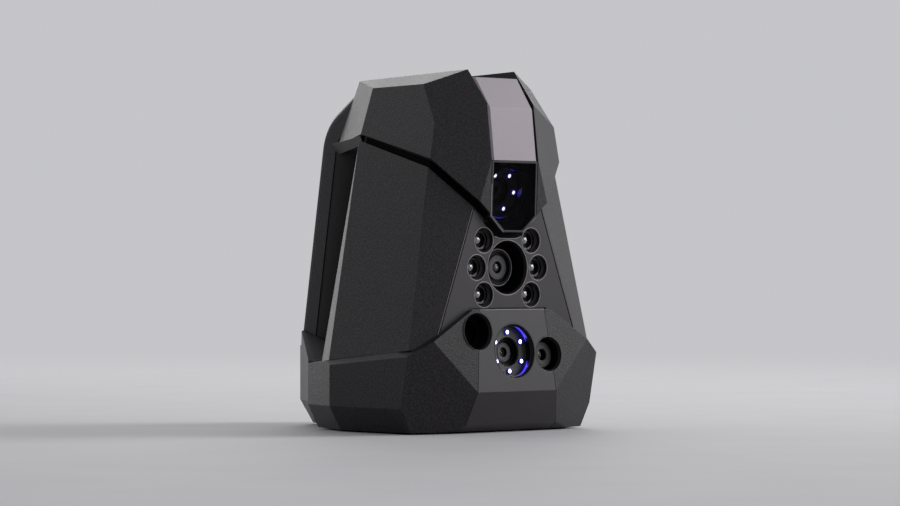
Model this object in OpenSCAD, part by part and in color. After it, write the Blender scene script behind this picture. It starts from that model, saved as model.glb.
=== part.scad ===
// A handheld 3D scanner that stands on its own base, with a loop handle behind it.
// The modules draw with X to the right as seen from the front, Y backwards from the front panel
// and Z up from the table. place() then centres the whole on the origin.

/* [Overall] */
// Height from the table to the rims of the head
scanner_h = 188.6; // [170:0.1:210]
// Width across the base
scanner_w = 135.2; // [125:0.1:150]
// Depth from the front panel to the rear edge of the body's sides
body_d = 67.4; // [64:0.1:76]

/* [Casing] */
// Wall of the moulded shells
wall = 2.4; // [1.8:0.1:2.8]
// Gap between neighbouring casing pieces
seam = 0.25; // [0.1:0.05:0.3]
// Height of the sunk band between head and body
neck_gap = 3.4; // [2:0.1:4.5]
// Half width of the channel that holds the spine cover and the roof strip
channel_w = 16.6; // [15.5:0.1:17]
// Thickness of the spine cover and the roof strip
strip_t = 2.2; // [1.6:0.1:2.6]
// Width of the bevel along the spine cover's long edges
bevel_w = 1.5; // [0.5:0.1:2]
// Height of the base's underside over the table
sole_z = 0.9; // [0.6:0.1:1.5]
// How far the base's lower chamfer runs inwards
tuck = 6.6; // [5:0.1:8]

/* [Handle] */
// Half width of the handle
grip_w = 17; // [15.5:0.1:18]
// Radius of the rounded inner face of the handle
grip_r = 16.8; // [15.5:0.1:17]
// Distance from the back of the handle to its rounded inner face
grip_t = 28.4; // [25:0.1:30]
// Depth of the handle's back half
back_t = 6; // [5.8:0.1:7]
// Thickness of the soft pad on the inner face
pad_t = 1.6; // [1:0.1:2.2]
// Lean of the handle from upright, in degrees
grip_tilt = 9.5; // [8:0.1:11]
// Radius of the bend at the top of the handle
bend_r = 29; // [24:0.5:34]
// Turn of that bend, in degrees
bend_a = 47; // [40:1:52]
// Straight length of the handle
grip_l = 108.7; // [100:0.1:115]

/* [Cameras] */
// Radius of the middle camera's hole
middle_r = 14.3; // [13:0.1:14.5]
// Radius of the lower camera's hole
lower_r = 14.2; // [13.8:0.1:14.3]
// Radius of the projector's hole
projector_r = 9.8; // [9:0.1:10.2]
// Radius of the colour camera's hole
colour_r = 9.2; // [8.5:0.1:9.3]
// Radius of a flash lamp's hole
flash_r = 6.7; // [6:0.05:6.8]
// Radius of the circle of flash lamps
flash_ring_r = 22; // [21.9:0.1:23]
// Angle between neighbouring flash lamps on one side, in degrees
flash_step = 40; // [39:1:43]
// Downward tilt of the upper camera, in degrees
upper_tilt = 15; // [10:1:16]
// Radius of the circle of small lamps round a camera
ring_lamp_r = 10.2; // [9.6:0.1:10.6]
// Radius of the big lens
lens_r = 6; // [5:0.1:6.2]
// Radius of the small lenses
small_lens_r = 4.6; // [4:0.1:4.8]

/* [Controls] */
// Radius of the round scan button
scan_r = 6.5; // [5:0.1:6.8]
// Width of the plus and minus buttons
key_w = 12; // [9:0.5:13]
// Height of the plus and minus buttons
key_h = 7; // [5:0.5:7.5]
// Travel of the buttons
press = 1; // [0.6:0.1:1]
// Radius of the power button
power_r = 3.6; // [3:0.1:4]

/* [Cooling] */
// Side of the square fan
fan_w = 30; // [26:0.5:31]
// Thickness of the fan
fan_t = 7; // [6:0.5:9]
// Number of fan blades
fan_blades = 7; // [5:1:9]
// Number of slots in the roof strip
roof_slots = 7; // [4:1:8]

/* [Mount] */
// Radius of the tripod insert's thread bore
tripod_r = 3.25; // [3:0.05:4]
// Depth of that bore
tripod_l = 9; // [7:0.5:10]

/* [Hidden] */
$fn = 64;

half_w = scanner_w / 2;
span = 2 * scanner_h;
core = [0, body_d / 2, scanner_h / 3];
base_core = [0, body_d / 2, scanner_h / 9];
foot_core = [0, 2 * body_d, scanner_h / 9];

// Corners of the facets, as shares of half the width, the body's depth and the height
rim_share = [0.251, 0.190, 1.000];
brow_share = [0.566, 0.339, 0.958];
temple_share = [0.634, 0.141, 0.848];
kink_share = [0.244, -0.036, 0.893];
cheek_share = [0.684, 0.132, 0.751];
chin_share = [0.365, -0.069, 0.637];
crown_share = [0.530, 0.973, 0.955];
nape_share = [0.591, 1.045, 0.827];
tail_share = [0.259, 1.439, 0.984];
pane_top_share = [0.238, -0.084, 0.747];
pane_low_share = [0.240, -0.065, 0.594];
pane_tip_share = [0.104, -0.061, 0.551];
spine_top_share = [0.244, 0.132, 0.979];
crease_front_share = [0.518, 1.231, 0.819];
crease_back_share = [0.251, 1.810, 0.809];
ceiling_front_share = [0.592, 1.083, 0.797];
ceiling_back_share = [0.251, 1.706, 0.778];
shoulder_share = [0.666, 0.175, 0.729];
hip_share = [0.954, 0.074, 0.225];
panel_top_share = [0.370, 0, 0.615];
panel_low_share = [0.736, 0, 0.265];
shoulder_back_share = [0.621, 1.039, 0.795];
hip_side_share = [0.947, 0.997, 0.225];
hip_back_share = [0.837, 1.202, 0.223];
nose_tip_share = [0.811, -0.050, 0.251];
nose_seam_share = [0.343, -0.050, 0.338];
nose_low_share = [0.414, -0.110, 0.113];
nose_edge_share = [0.410, -0.033, 0.338];
strip_low_share = [0.476, -0.040, 0.024];
sole_corner_share = [0.670, 0.037, 0.005];
skirt_share = [1.000, 0.091, 0.071];
waist_front_share = [0.953, 0.065, 0.229];
base_top_share = [0.996, 0.031, 0.215];
base_side_share = [1.000, 0.944, 0.185];
waist_back_share = [0.962, 0.994, 0.198];
base_back_share = [0.843, 1.365, 0.185];
foot_side_share = [0.488, 1.804, 0.192];
flare_share = [0.251, 1.966, 0.254];
flare_back_share = [0.251, 2.129, 0.272];
notch_shares = [[0.085, 0.534], [0.141, 0.540], [0.217, 0.564], [0.347, 0.612]];

function at(s) = [s.x * half_w, s.y * body_d, s.z * scanner_h];
rim = at(rim_share);
brow = at(brow_share);
temple = at(temple_share);
kink = at(kink_share);
cheek = at(cheek_share);
chin = at(chin_share);
crown = at(crown_share);
nape = at(nape_share);
tail = at(tail_share);
pane_top = at(pane_top_share);
pane_low = at(pane_low_share);
pane_tip = at(pane_tip_share);
spine_top = at(spine_top_share);
crease_front = at(crease_front_share);
crease_back = at(crease_back_share);
ceiling_front = at(ceiling_front_share);
ceiling_back = at(ceiling_back_share);
shoulder = at(shoulder_share);
hip = at(hip_share);
panel_top = at(panel_top_share);
panel_low = at(panel_low_share);
shoulder_back = at(shoulder_back_share);
hip_side = at(hip_side_share);
hip_back = at(hip_back_share);
nose_tip = at(nose_tip_share);
nose_seam = at(nose_seam_share);
nose_low = at(nose_low_share);
nose_edge = at(nose_edge_share);
strip_low = at(strip_low_share);
sole_corner = at(sole_corner_share);
skirt = at(skirt_share);
waist_front = at(waist_front_share);
base_top = at(base_top_share);
base_side = at(base_side_share);
waist_back = at(waist_back_share);
base_back = at(base_back_share);
foot_side = at(foot_side_share);
flare = at(flare_share);
flare_back = at(flare_back_share);

deck_z = 0.965 * scanner_h;
// The handle's back starts at this height, and this far behind the panel
grip_z = 0.23 * scanner_h;
grip_y = 2.218 * body_d;
// The base's rear wall stands this far behind the panel
wall_y = base_back.y + wall;
// The whole runs from the lowest edge of the nose to the back of the handle
mid_y = (grip_y + nose_low.y) / 2;

// A plane is kept as one of its points and its outward unit normal
function unit(v) = v / norm(v);
function outward(a, n, from) = n * (a - from) > 0 ? unit(n) : -unit(n);
function plane(a, b, c, from = core) = [a, outward(a, cross(b - a, c - a), from)];
function level(a, b, from = core) =
    [[0, a.y, a.z], outward([0, a.y, a.z], [0, a.z - b.z, b.y - a.y], from)];
function upright(a, b, from = base_core) = plane(a, b, [a.x, a.y, a.z - span], from);
function flipped(v) = [-v.x, v.y, v.z];
function both(q) = [q, [flipped(q[0]), flipped(q[1])]];
// The chamfer under an upright plane
function tucked(q) =
    [[q[0].x, q[0].y, skirt.z], unit((skirt.z - sole_z) * q[1] + [0, 0, -tuck])];
// The bevel along a long edge of the spine cover
bevel_share = 0.75;
function edge_cut(q) =
    [[channel_w - seam - bevel_w, q[0].y, q[0].z], unit(q[1] + [bevel_share, 0, 0])];

pane = level(pane_top, pane_tip);
spine_low = level(kink, pane_top);
spine_up = level(spine_top, kink);
deck = [[0, 0, deck_z], [0, 0, 1]];
nape_plane = plane(crown, nape, tail);
head_planes = concat(both(plane(rim, brow, crown)), both(plane(brow, cheek, crown)),
    both(plane(brow, rim, temple)), both(plane(temple, cheek, kink)), both(nape_plane), [pane]);
// The head parts from the body along two planes that meet in a V
part_planes = both(plane(nape, cheek, chin));
crease = level(crease_back, crease_front);
arch_planes = concat(both(plane(crease_front, crease_back, ceiling_back, [0, tail.y, deck_z])),
    [level(ceiling_back, ceiling_front, [0, tail.y, deck_z])]);

body_planes = concat(both(plane(shoulder, hip, shoulder_back)),
    both(plane(shoulder, hip, panel_top)), both(plane(shoulder_back, hip_side, hip_back)),
    [[[0, 0, 0], [0, -1, 0]]]);
body_rear = level(shoulder_back, hip_back);
waist = level(waist_front, waist_back);
function waist_at(y) = waist_front.z
    + (y - waist_front.y) * (waist_back.z - waist_front.z) / (waist_back.y - waist_front.y);

side_plane = [skirt, [1, 0, 0]];
corner_plane = upright(base_side, base_back);
base_planes = concat(both(plane(nose_seam, nose_low, nose_tip, base_core)),
    both(plane(nose_tip, nose_low, sole_corner, base_core)),
    [level(nose_seam, nose_low, base_core), level(nose_low, strip_low, base_core),
     level(strip_low, sole_corner, base_core), [nose_seam, [0, 0, 1]],
     [[0, 0, sole_z], [0, 0, -1]], [[0, wall_y, 0], [0, 1, 0]]],
    both(side_plane), both(tucked(side_plane)), both(corner_plane), both(tucked(corner_plane)),
    both(plane(waist_front, base_top, base_side, base_core)),
    both(plane(nose_edge, base_top, nose_edge + [0, body_d, 0], base_core)));

foot_flank = [foot_side, [1, 0, 0]];
foot_corner = upright(foot_side, [grip_w, grip_y - back_t / 2, foot_side.z], foot_core);
foot_end = [[0, grip_y, 0], [0, 1, 0]];
foot_planes = concat(both(foot_flank), both(tucked(foot_flank)), both(foot_corner),
    both(tucked(foot_corner)), both(plane(flare, flare_back, foot_side, foot_core)),
    [foot_end, tucked(foot_end), [[0, 0, sole_z], [0, 0, -1]],
     level(flare, [0, wall_y, waist_at(wall_y)], foot_core)]);

// Keeps the inner side of a plane, moved inwards by an inset
module side_of(q, inset = 0)
    translate(q[0] - q[1] * inset)
        rotate([0, acos(q[1].z), atan2(q[1].y, q[1].x)])
            translate([-span, -span, -2 * span]) cube(2 * span);
module block(planes, inset = 0)
    intersection_for(q = planes) side_of(q, inset);
module slab_x(low, high)
    translate([low, -span, -span]) cube([high - low, 2 * span, 2 * span]);
module slab_y(low, high)
    translate([-span, low, -span]) cube([2 * span, high - low, 2 * span]);
module slab_z(low, high)
    translate([-span, -span, low]) cube([2 * span, 2 * span, high - low]);
module box(low, high) translate(low) cube(high - low);
module place() translate([0, -mid_y, 0]) children();
module right_half() intersection() { children(); slab_x(seam / 2, span); }
module left_half() intersection() { children(); slab_x(-span, -seam / 2); }
// A plate drawn in X and Z, standing from front_y to back_y
module standing(front_y, back_y, points)
    translate([0, back_y, 0]) rotate([90, 0, 0])
        linear_extrude(back_y - front_y) polygon(points);
// A plate drawn in Y and Z, reaching out to both sides of the middle
module profile(reach, points)
    rotate([90, 0, 90]) linear_extrude(2 * reach, center = true) polygon(points);
function mirrored(points) = concat(points,
    [for (i = [len(points) - 1 : -1 : 0]) [-points[i].x, points[i].y]]);
function bent(side, points) = [for (p = points) [side * p.x, p.y]];

// Places on the front, each with its outward direction along Z
nose_a = atan((nose_seam.y - nose_low.y) / (nose_seam.z - nose_low.z));
function nose_at(x, z_share) = [x,
    nose_seam.y - (nose_seam.z - z_share * scanner_h) * tan(nose_a), z_share * scanner_h];
hole_web = 1.1;
projector_at = nose_at(-lower_r - projector_r - hole_web, 0.279);
lower_at = nose_at(0, 0.224);
colour_at = nose_at(lower_r + colour_r + hole_web, 0.2137);
middle_at = [0, 0, 0.454 * scanner_h];
upper_at = [0, 0.104 * body_d, 0.6633 * scanner_h];
module facing(p, up = 0) translate(p) rotate([90 - up, 0, 0]) children();
module flashes()
    for (side = [-1, 1], a = [-flash_step, 0, flash_step])
        translate(middle_at + [side * flash_ring_r * cos(a), 0, flash_ring_r * sin(a)])
            rotate([90, 0, 0]) children();
rim_cut = 0.3;
module hole(r) rotate_extrude() polygon([[0, -3 * wall], [r, -3 * wall], [r, -rim_cut],
    [r + 1.25 * rim_cut, rim_cut / 4], [r + 1.25 * rim_cut, 2 * wall], [0, 2 * wall]]);

// The handle's back runs up, bends forwards and ends at the roof; depth counts in from the back
grip_up = [-sin(grip_tilt), cos(grip_tilt)];
grip_in = [-cos(grip_tilt), -sin(grip_tilt)];
bend_at = [grip_y, grip_z] + grip_l * grip_up + bend_r * grip_in;
bend_steps = 12;
function curve(depth) = concat([[grip_y, grip_z] + depth * grip_in - seam * grip_up],
    [for (i = [0 : bend_steps]) let (a = grip_tilt + i * bend_a / bend_steps)
        bend_at + (bend_r - depth) * [cos(a), sin(a)]]);
function behind(depth) = let (line = curve(depth), last = line[len(line) - 1],
    a = grip_tilt + bend_a) concat(line, [last + grip_w * [-sin(a), cos(a)]],
    [[last.x - grip_w * sin(a), span], [span, span], [span, line[0].y]]);
module on_grip(along = 0)
    translate([0, grip_y, grip_z]) rotate([grip_tilt, 0, 0]) translate([0, 0, along]) children();
// The pieces of the sweep run this far into each other
overlap = 0.05;
module sweep(points) {
    bar_points = [for (p = points) [p.x, -p.y]];
    bend_points = [for (p = points) [bend_r - p.y, p.x]];
    on_grip() {
        linear_extrude(grip_l + overlap) polygon(bar_points);
        translate([0, -bend_r, grip_l]) {
            rotate([90, 0, 90]) rotate_extrude(angle = bend_a) polygon(bend_points);
            rotate([bend_a, 0, 0]) translate([0, bend_r, -overlap])
                linear_extrude(grip_w + bend_r / 2) polygon(bar_points);
        }
    }
}
// The section's corners, as half widths and depths
edge_in = 3.8;
side_t = grip_t / 2;
back_section = mirrored([[grip_w, back_t], [grip_w, edge_in], [0.9 * grip_w, edge_in / 2],
    [0.65 * grip_w, 0]]);
back_pocket = mirrored([[grip_w - wall, back_t + seam], [grip_w - wall, edge_in + wall / 3],
    [0.78 * grip_w, wall]]);
front_section = mirrored([[grip_w, back_t + seam], [grip_w, side_t]]);
front_pocket = mirrored([[grip_w - wall, 0], [grip_w - wall, side_t - wall]]);
pad_over = 6;
module rounded(r, low, high, extra) intersection() {
    on_grip(low) translate([0, grip_r - grip_t, 0]) cylinder(r = r, h = high - low);
    on_grip(low) translate([-span / 2, -span, 0])
        cube([span, span - side_t - extra, high - low]);
}
// All the room that the handle takes in the base
module handle_room() {
    intersection() {
        on_grip(-seam) linear_extrude(grip_l)
            polygon([for (p = mirrored([[grip_w + seam, side_t], [grip_w + seam, edge_in],
                [span, edge_in], [span, -span]])) [p.x, -p.y]]);
        slab_z(0, flare_back.z + 4 * wall);
    }
    rounded(grip_r + seam, -seam, grip_l, 0);
}

// The head
module head_block(inset = 0) block(head_planes, inset);
module above_part(drop = 0) difference() {
    slab_z(0, span);
    for (q = part_planes) side_of(q, drop);
}
module band_block(inset = 0) block([pane, spine_low, spine_up, deck], inset);
module rear_space(clear) difference() {
    difference() {
        slab_z(0, span);
        block([[crease[0], -crease[1]]]);
    }
    side_of(body_rear, clear);
}
module window_hole(clear = 0)
    standing(-span, body_d / 3, mirrored([[pane_top.x + clear, pane_top.z + clear],
        [pane_low.x + clear, pane_low.z - clear / 2], [pane_tip.x + clear / 2, pane_tip.z - clear]]));
fan_y = 0.74 * body_d;
fan_top = deck_z - strip_t - wall;
module head_shell() difference() {
    intersection() {
        head_block();
        above_part();
    }
    difference() {
        head_block(wall);
        difference() {
            slab_x(-channel_w - wall, channel_w + wall);
            band_block(strip_t + wall);
        }
    }
    difference() {
        slab_x(-channel_w, channel_w);
        band_block(strip_t);
    }
    rear_space(wall + seam);
    window_hole(seam);
    slab_z(-span, pane_tip.z + seam);
    profile(grip_w + seam, behind(side_t + seam));
    translate([0, fan_y, fan_top - wall]) cylinder(r = fan_w / 2 - wall / 2, h = 3 * wall);
}
module left_head_shell() place() color("#3b383b") left_half() head_shell();
module right_head_shell() place() color("#3b383b") right_half() head_shell();

module spine_cover() place() color("#8d878c") difference() {
    block(concat([spine_low, spine_up, [spine_top, [0, 0, 1]]],
        both([[channel_w - seam, 0, 0], [1, 0, 0]]),
        both(edge_cut(spine_low)), both(edge_cut(spine_up))));
    block([spine_low, spine_up], strip_t);
    slab_z(-span, pane_top.z + seam);
}
slot_w = 2;
slot_pitch = 1.9 * slot_w;
module roof_strip() place() color("#2a282a") difference() {
    intersection() {
        slab_z(deck_z - strip_t, deck_z);
        side_of(spine_up, strip_t + seam);
        slab_x(seam - channel_w, channel_w - seam);
        slab_y(0, tail.y - seam);
    }
    for (i = [0 : roof_slots - 1])
        translate([-0.34 * fan_w, fan_y + (i - (roof_slots - 1) / 2) * slot_pitch - slot_w / 2,
            deck_z - 2 * strip_t]) cube([0.68 * fan_w, slot_w, 3 * strip_t]);
}
frame_depth = 3;
frame_rim = 1;
module window_skin(front, back) difference() {
    side_of(pane, front);
    side_of(pane, back);
}
module window_frame() place() color("#6f6a70") difference() {
    intersection() {
        window_hole();
        window_skin(0, frame_depth);
    }
    window_hole(-frame_rim);
}
module window_glass() place() color("#15152b", 0.5) intersection() {
    window_hole(-frame_rim - seam / 2);
    window_skin(frame_rim / 2, frame_depth - frame_rim / 2);
}

// The body
module body_block(inset = 0) block(body_planes, inset);
module above_waist(lift = 0) side_of(waist, lift);
hide = 4;
function panel_points(grow) = mirrored(concat(
    [for (s = notch_shares) [s.x * half_w, s.y * scanner_h + grow]],
    [[panel_top.x + grow, panel_top.z + grow], [panel_low.x + grow, panel_low.z],
     [panel_low.x + grow, panel_low.z - hide], [nose_edge.x, nose_seam.z - hide]]));
module nose_opening() standing(-span, body_d / 3,
    mirrored([[nose_tip.x - 2 * hide, 0], [nose_tip.x - 2 * hide, nose_tip.z - hide / 2],
        [nose_edge.x, nose_seam.z - hide]]));
module body_shell() difference() {
    intersection() {
        body_block();
        side_of(body_rear);
        above_waist();
    }
    block(body_planes, wall);
    above_part(neck_gap);
    standing(-span, body_d / 3, panel_points(seam));
    nose_opening();
}
module left_body_shell() place() color("#4a464a") left_half() body_shell();
module right_body_shell() place() color("#4a464a") right_half() body_shell();
groove_w = 0.8;
groove_d = 0.7;
rib_w = 0.4;
module panel_grooves() {
    standing(-groove_d, groove_d,
        mirrored([[nose_edge.x, nose_seam.z], [nose_edge.x, nose_seam.z + groove_w]]));
    for (s = [-1, 1]) standing(-groove_d, groove_d, bent(s,
        [[panel_top.x - rib_w, panel_top.z], [panel_low.x - rib_w, panel_low.z],
        [panel_low.x - rib_w - groove_w, panel_low.z],
        [panel_top.x - rib_w - groove_w, panel_top.z]]));
}
module centre_panel() place() color("#565057") difference() {
    standing(0, wall, panel_points(0));
    panel_grooves();
    nose_opening();
    facing(projector_at, nose_a) hole(projector_r);
    facing(middle_at) hole(middle_r);
    flashes() hole(flash_r);
}
band_t = 1.6;
module neck_band() place() color("#121113") difference() {
    intersection() {
        body_block(wall + seam);
        side_of(body_rear, wall + seam);
        above_part(neck_gap + wall);
    }
    body_block(wall + seam + band_t);
    above_part(-wall);
    difference() {
        above_part();
        head_block(wall + seam);
    }
    window_hole(seam);
    facing(middle_at) translate([0, 0, -span]) cylinder(r = middle_r, h = span);
}
module rear_cover() place() color("#2b292b") difference() {
    intersection() {
        body_block(wall + seam);
        side_of(body_rear);
        above_waist(seam);
        side_of([crease[0] - [0, 0, seam], crease[1]]);
    }
    side_of(body_rear, wall);
}
module underside_cover() place() color("#4b474b") difference() {
    intersection() {
        block(arch_planes);
        side_of([crease[0] - [0, 0, seam], crease[1]]);
        slab_y(0, crease_back.y);
    }
    block(arch_planes, wall);
    side_of(body_rear, -seam);
    intersection() {
        on_grip(-seam) translate([-grip_w - seam, -grip_t - seam, 0])
            cube([2 * grip_w + 2 * seam, 2 * grip_t, span]);
        slab_y(0, span);
    }
}

// The base
module base_block(inset = 0) block(base_planes, inset);
module foot_block(inset = 0) block(foot_planes, inset);
floor_z = sole_z + wall;
ledge_w = 3;
plate_w = 0.68 * half_w;
plate_front = 0.25 * body_d;
plate_back = 1.3 * body_d;
module plate_hole(grow, low, high)
    box([-plate_w - grow, plate_front - grow, low], [plate_w + grow, plate_back + grow, high]);
boss_r = 3.4;
boss_l = 6;
screw_r = 1.4;
head_r = 2.7;
head_h = 1.5;
thread_gap = 0.1;
plate_inset = 4.5;
plate_screw_places = [for (x = [-1, 1], y = [0, 1])
    [x * (plate_w - plate_inset), y == 0 ? plate_front + plate_inset : plate_back - plate_inset]];
module ledge() intersection() {
    union() {
        difference() {
            plate_hole(ledge_w, floor_z - wall / 2, floor_z + wall);
            plate_hole(-ledge_w, 0, span);
        }
        for (p = plate_screw_places)
            translate([p.x, p.y, floor_z]) cylinder(r = boss_r, h = boss_l);
    }
    base_block();
}
module base_outer() difference() {
    base_block();
    intersection() {
        above_waist();
        union() {
            intersection() {
                body_block(-seam);
                slab_y(-span, hip.y + 2 * wall);
            }
            slab_y(hip.y + wall, wall_y + wall);
        }
    }
}
module base_shell() difference() {
    union() {
        base_outer();
        intersection() {
            foot_block();
            slab_y(wall_y - wall, span);
        }
    }
    difference() {
        base_block(wall);
        ledge();
        difference() {
            above_waist(-wall);
            side_of(body_rear, wall);
        }
    }
    intersection() {
        foot_block(wall);
        slab_y(wall_y - 2 * wall, span);
        side_of([[0, grip_y, grip_z] - (wall + seam) * [0, grip_up.x, grip_up.y],
            [0, grip_up.x, grip_up.y]]);
    }
    on_grip(-2 * grip_r) translate([0, -side_t, 0]) cylinder(r = grip_r / 4, h = 4 * grip_r);
    handle_room();
    plate_hole(seam, 0, floor_z);
    for (p = plate_screw_places)
        translate([p.x, p.y, 0]) cylinder(r = screw_r + thread_gap, h = floor_z + boss_l);
    rear_holes();
    nose_space(seam / 2);
}
seam_points = [[strip_low.x, 0], [strip_low.x, strip_low.z], [nose_low.x, nose_low.z],
    [nose_seam.x, nose_seam.z], [nose_seam.x, nose_seam.z + hide]];
module nose_space(grow)
    standing(-span, hip.y + wall, mirrored([for (p = seam_points) p + [grow, 0]]));
module left_base_shell() place() color("#3a373b") difference() {
    left_half() base_shell();
    facing(projector_at, nose_a) hole(projector_r);
}
module right_base_shell() place() color("#3a373b") difference() {
    right_half() base_shell();
    facing(colour_at, nose_a) hole(colour_r);
}
module nose_cover() place() color("#655f66") difference() {
    intersection() {
        difference() {
            base_outer();
            base_block(wall);
        }
        nose_space(-seam / 2);
    }
    facing(lower_at, nose_a) hole(lower_r);
    difference() {
        facing(projector_at, nose_a) hole(projector_r);
        slab_x(0, span);
    }
    difference() {
        facing(colour_at, nose_a) hole(colour_r);
        slab_x(-span, 0);
    }
}
tripod_y = 0.9 * body_d;
tripod_wall = 1.7;
boss_wall = 2.5;
press_gap = 0.03;
frame_y = 0.386 * body_d;
frame_t = 3;
flange_l = 15;
frame_screw_places = [for (x = [-0.4, 0.4], y = [0.35, 0.75])
    [x * half_w, frame_y + frame_t + y * flange_l]];
module bottom_plate() place() color("#1d1c1e") difference() {
    union() {
        plate_hole(0, sole_z, floor_z);
        translate([0, tripod_y, sole_z])
            cylinder(r = tripod_r + tripod_wall + boss_wall, h = tripod_l + 2 * tripod_wall);
    }
    translate([0, tripod_y, 0])
        cylinder(r = tripod_r + tripod_wall + press_gap, h = sole_z + tripod_l + tripod_wall);
    for (p = plate_screw_places) translate([p.x, p.y, 0]) {
        cylinder(r = screw_r + thread_gap, h = 2 * floor_z);
        translate([0, 0, sole_z]) cylinder(r1 = head_r + press_gap, r2 = screw_r + thread_gap,
            h = head_h);
    }
    for (p = frame_screw_places)
        translate([p.x, p.y, sole_z + wall / 4]) cylinder(r = screw_r + thread_gap, h = 2 * wall);
    for (side = [-1, 1], i = [0 : roof_slots - 1])
        translate([side * 0.3 * half_w - fan_w / 4, 1.02 * body_d + i * slot_pitch / 1.5, 0])
            cube([fan_w / 2, slot_w / 2, 2 * floor_z]);
}
module tripod_insert() place() color("#b08d4a") translate([0, tripod_y, sole_z]) difference() {
    cylinder(r = tripod_r + tripod_wall, h = tripod_l + tripod_wall);
    translate([0, 0, -sole_z]) cylinder(r = tripod_r, h = tripod_l + sole_z);
}
module plate_screws() place() color("#8a8a8c")
    for (p = plate_screw_places) translate([p.x, p.y, sole_z]) {
        cylinder(r1 = head_r, r2 = screw_r, h = head_h);
        cylinder(r = screw_r, h = wall + boss_l - screw_r);
    }
foot_r = 4.5;
foot_places = [[0.68 * half_w, 0.15 * body_d], [0.2 * half_w, 1.83 * body_d]];
module feet() place() color("#101010")
    for (p = foot_places, side = [-1, 1])
        translate([side * p.x, p.y, 0]) cylinder(r = foot_r, h = sole_z);

// Sockets and power button in the base's rear wall
data_at = [0.67 * half_w, 0.125 * scanner_h];
power_at = [-0.56 * half_w, 0.118 * scanner_h];
power_key_at = [-0.72 * half_w, 0.125 * scanner_h];
data_w = 12;
data_h = 6;
jack_r = 4.5;
jack_bore = 3;
fit_gap = 0.15;
board_t = 1.6;
socket_l = 9;
socket_y = wall_y - socket_l;
module along_y(p, r, low, high)
    translate([p.x, low, p.y]) rotate([-90, 0, 0]) cylinder(r = r, h = high - low);
module rear_holes() {
    box([data_at.x - data_w / 2 - fit_gap, wall_y - 2 * wall, data_at.y - data_h / 2 - fit_gap],
        [data_at.x + data_w / 2 + fit_gap, wall_y + wall, data_at.y + data_h / 2 + fit_gap]);
    along_y(power_at, jack_r + fit_gap, wall_y - 2 * wall, wall_y + wall);
    along_y(power_key_at, power_r + fit_gap, wall_y - 2 * wall, wall_y + wall);
}
module socket_board() place() color("#1f5a3a") {
    standing(socket_y - board_t, socket_y,
        mirrored([[0.78 * half_w, floor_z + boss_l + seam], [0.78 * half_w, 0.16 * scanner_h],
            [0.5 * half_w, 0.16 * scanner_h], [0.5 * half_w, 0.09 * scanner_h],
            [0, 0.09 * scanner_h]]));
    box([-0.2 * half_w, socket_y - board_t, floor_z + wall],
        [0.2 * half_w, socket_y, 0.09 * scanner_h]);
    box([power_key_at.x - power_r / 2, socket_y, power_key_at.y - power_r / 2],
        [power_key_at.x + power_r / 2, wall_y - 3 * wall, power_key_at.y + power_r / 2]);
}
module data_socket() place() color("#9a9ca0") difference() {
    box([data_at.x - data_w / 2, socket_y, data_at.y - data_h / 2],
        [data_at.x + data_w / 2, wall_y - wall / 4, data_at.y + data_h / 2]);
    difference() {
        box([data_at.x - data_w / 2 + wall / 2, wall_y - 3 * wall, data_at.y - data_h / 4],
            [data_at.x + data_w / 2 - wall / 2, wall_y + wall, data_at.y + data_h / 4]);
        box([data_at.x - data_w / 4, 0, data_at.y - data_h / 12],
            [data_at.x + data_w / 4, wall_y - wall, data_at.y + data_h / 12]);
    }
}
module power_socket() place() color("#151516") {
    difference() {
        along_y(power_at, jack_r, socket_y, wall_y - wall / 4);
        along_y(power_at, jack_bore, wall_y - 3 * wall, wall_y + wall);
    }
    along_y(power_at, jack_bore / 4, wall_y - 3 * wall - wall / 4, wall_y - wall);
}
proud = 0.9;
stop_w = 0.8;
stop_t = 1.2;
module power_button() place() color("#8d2f2f") {
    along_y(power_key_at, power_r, wall_y - 3 * wall + press + fit_gap, wall_y + proud);
    along_y(power_key_at, power_r + stop_w, wall_y - wall - fit_gap - stop_t,
        wall_y - wall - fit_gap);
}

// The handle
bezel_w = 10;
bezel_low = 0.59 * grip_l;
bezel_high = 0.985 * grip_l;
bezel_in = 1.6;
opening_w = 8;
scan_z = 0.775 * grip_l;
key_step = 12.5;
light_in = 3.2;
light_z = bezel_high - light_in;
opening_low = bezel_low + wall;
opening_high = light_z - wall / 2;
module grip_box(half, low, high, deep, shallow)
    on_grip() translate([-half, -deep, low]) cube([2 * half, deep - shallow, high - low]);
module handle_end() slab_y(tail.y, span);
module handle_back() place() color("#7d787d") {
    difference() {
        sweep(back_section);
        sweep(back_pocket);
        grip_box(bezel_w + fit_gap, bezel_low - fit_gap, bezel_high + fit_gap, bezel_in, -wall);
        grip_box(opening_w, opening_low, opening_high, 2 * wall, 0);
        slab_y(0, tail.y);
    }
    for (x = [-1, 1], z = [bezel_low, bezel_high - 2 * wall])
        on_grip(z) translate([x * (bezel_w + wall / 2), -board_in, 0])
            rotate([-90, 0, 0]) cylinder(r = wall / 2, h = board_in - wall / 2);
}
board_in = 4.4;
module handle_front() place() color("#4b474b") difference() {
    union() {
        intersection() {
            difference() {
                sweep(front_section);
                sweep(front_pocket);
            }
            handle_end();
        }
        rounded(grip_r - pad_t - seam, 0, grip_l + pad_over, -wall);
    }
    rounded(grip_r - pad_t - seam - wall, -seam, grip_l + pad_over + seam, 0);
    on_grip(-seam) translate([0, -side_t, 0]) cylinder(r = grip_r / 4, h = grip_l / 8);
}
module grip_pad() place() color("#1a191b") difference() {
    rounded(grip_r, 0, grip_l + pad_over, seam);
    rounded(grip_r - pad_t, -seam, grip_l + pad_over + seam, 0);
}
module round_key(along, grow, deep, shallow)
    on_grip(along) translate([0, -deep, 0]) rotate([-90, 0, 0])
        cylinder(r = scan_r + grow, h = deep - shallow);
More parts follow.
